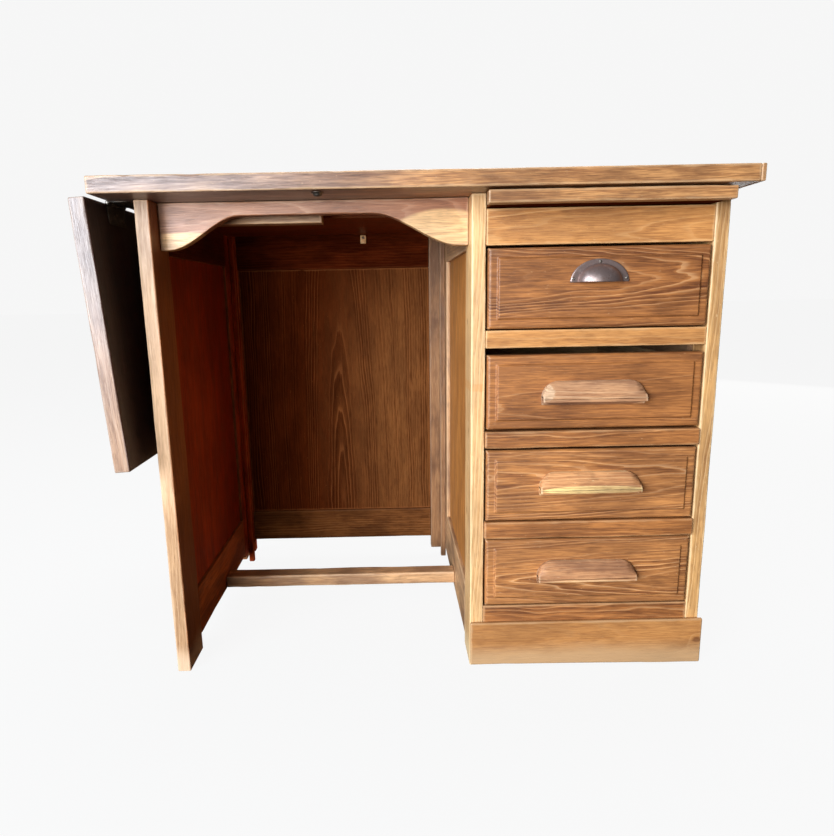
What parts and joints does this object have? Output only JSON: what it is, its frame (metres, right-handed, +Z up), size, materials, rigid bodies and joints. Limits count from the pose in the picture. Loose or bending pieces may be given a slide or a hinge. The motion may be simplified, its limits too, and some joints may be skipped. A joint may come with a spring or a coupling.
{
  "type": "teacher desk",
  "caption": "Oak teacher desk with a drawer pedestal on the right, a shaped apron over the kneehole, a pull-out writing slide and a drop leaf hanging on the left.",
  "frame": {"origin": "middle of the whole desk's footprint, hanging leaf included, on the floor", "axes": "+X to the sitter's right, from the leaf to the pedestal; +Y to the back, so the front faces -Y; +Z up"},
  "size_m": [0.9404, 0.5444, 0.77],
  "materials": {
    "oak_top": "old waxed oak, worn satin",
    "oak_frame": "waxed oak, satin",
    "oak_pale": "pale yellow waxed oak, satin",
    "oak_honey": "honey-coloured waxed oak, satin",
    "oak_dark": "medium brown oak with dark pores, satin",
    "oak_panel": "dark red-brown panel wood, satin",
    "drawer_wood": "unfinished drawer-box wood, matt",
    "gunmetal": "dark patinated metal, satin",
    "hinge_steel": "aged steel, dull"
  },
  "bodies": {
    "case": {"apron": "oak_frame", "back_bottom_rail": "oak_frame", "back_left_batten": "oak_frame", "back_left_stile": "oak_frame", "back_panel": "oak_panel", "back_right_batten": "oak_frame", "back_right_stile": "oak_frame", "back_top_rail": "oak_frame", "base_rail": "oak_dark", "dark_rail_1": "oak_dark", "dark_rail_2": "oak_dark", "desktop": "oak_top", "hinge_1_fixed_flap": "hinge_steel", "hinge_2_fixed_flap": "hinge_steel", "left_bottom_rail": "oak_frame", "left_front_stile": "oak_frame", "left_panel": "oak_panel", "left_rear_stile": "oak_frame", "left_runners": "drawer_wood", "left_top_rail": "oak_frame", "middle_bottom_rail": "oak_frame", "middle_front_stile": "oak_pale", "middle_panel": "oak_panel", "middle_rear_stile": "oak_frame", "middle_top_rail": "oak_frame", "pedestal_back": "oak_panel", "plinth": "oak_honey", "right_bottom_rail": "oak_frame", "right_front_stile": "oak_pale", "right_panel": "oak_panel", "right_rear_stile": "oak_frame", "right_runners": "drawer_wood", "right_top_rail": "oak_frame", "slide_rail": "oak_honey", "stretcher": "oak_frame", "under_board": "oak_panel", "upper_rail": "oak_honey"},
    "drawer_1": {"drawer_1_cup_pull": "gunmetal", "drawer_1_floor": "drawer_wood", "drawer_1_front": "oak_dark", "drawer_1_walls": "drawer_wood"},
    "drawer_2": {"drawer_2_bar_pull": "oak_top", "drawer_2_floor": "drawer_wood", "drawer_2_front": "oak_dark", "drawer_2_walls": "drawer_wood"},
    "drawer_3": {"drawer_3_bar_pull": "oak_top", "drawer_3_floor": "drawer_wood", "drawer_3_front": "oak_dark", "drawer_3_walls": "drawer_wood"},
    "drawer_4": {"drawer_4_bar_pull": "oak_top", "drawer_4_floor": "drawer_wood", "drawer_4_front": "oak_dark", "drawer_4_walls": "drawer_wood"},
    "leaf": {"leaf": "oak_top", "hinge_1_leaf_flap": "hinge_steel", "hinge_2_leaf_flap": "hinge_steel"},
    "slide": {"slide_board": "oak_panel", "slide_lip": "oak_top"},
    "loper": {"loper": "oak_honey"},
    "turn_button": {"turn_button": "oak_pale"}
  },
  "joints": [
    {"name": "drawer_1_slide", "type": "slide", "parent": "case", "child": "drawer_1", "axis": [0, -1, 0], "range_m": [0, 0.33]},
    {"name": "drawer_2_slide", "type": "slide", "parent": "case", "child": "drawer_2", "axis": [0, -1, 0], "range_m": [0, 0.33]},
    {"name": "drawer_3_slide", "type": "slide", "parent": "case", "child": "drawer_3", "axis": [0, -1, 0], "range_m": [0, 0.33]},
    {"name": "drawer_4_slide", "type": "slide", "parent": "case", "child": "drawer_4", "axis": [0, -1, 0], "range_m": [0, 0.33]},
    {"name": "writing_slide", "type": "slide", "parent": "case", "child": "slide", "axis": [0, -1, 0], "range_m": [0, 0.3]},
    {"name": "leaf_hinge", "type": "hinge", "parent": "case", "child": "leaf", "pos_m": [-0.44517, 0, 0.7448], "axis": [0, 1, 0], "range_deg": [0, 93.45]},
    {"name": "loper_slide", "type": "slide", "parent": "case", "child": "loper", "axis": [-1, 0, 0], "range_m": [0, 0.035]},
    {"name": "turn_button_pivot", "type": "hinge", "parent": "case", "child": "turn_button", "pos_m": [-0.09377, 0.22355, 0.729], "axis": [0, -1, 0], "range_deg": [0, 90]}
  ]
}
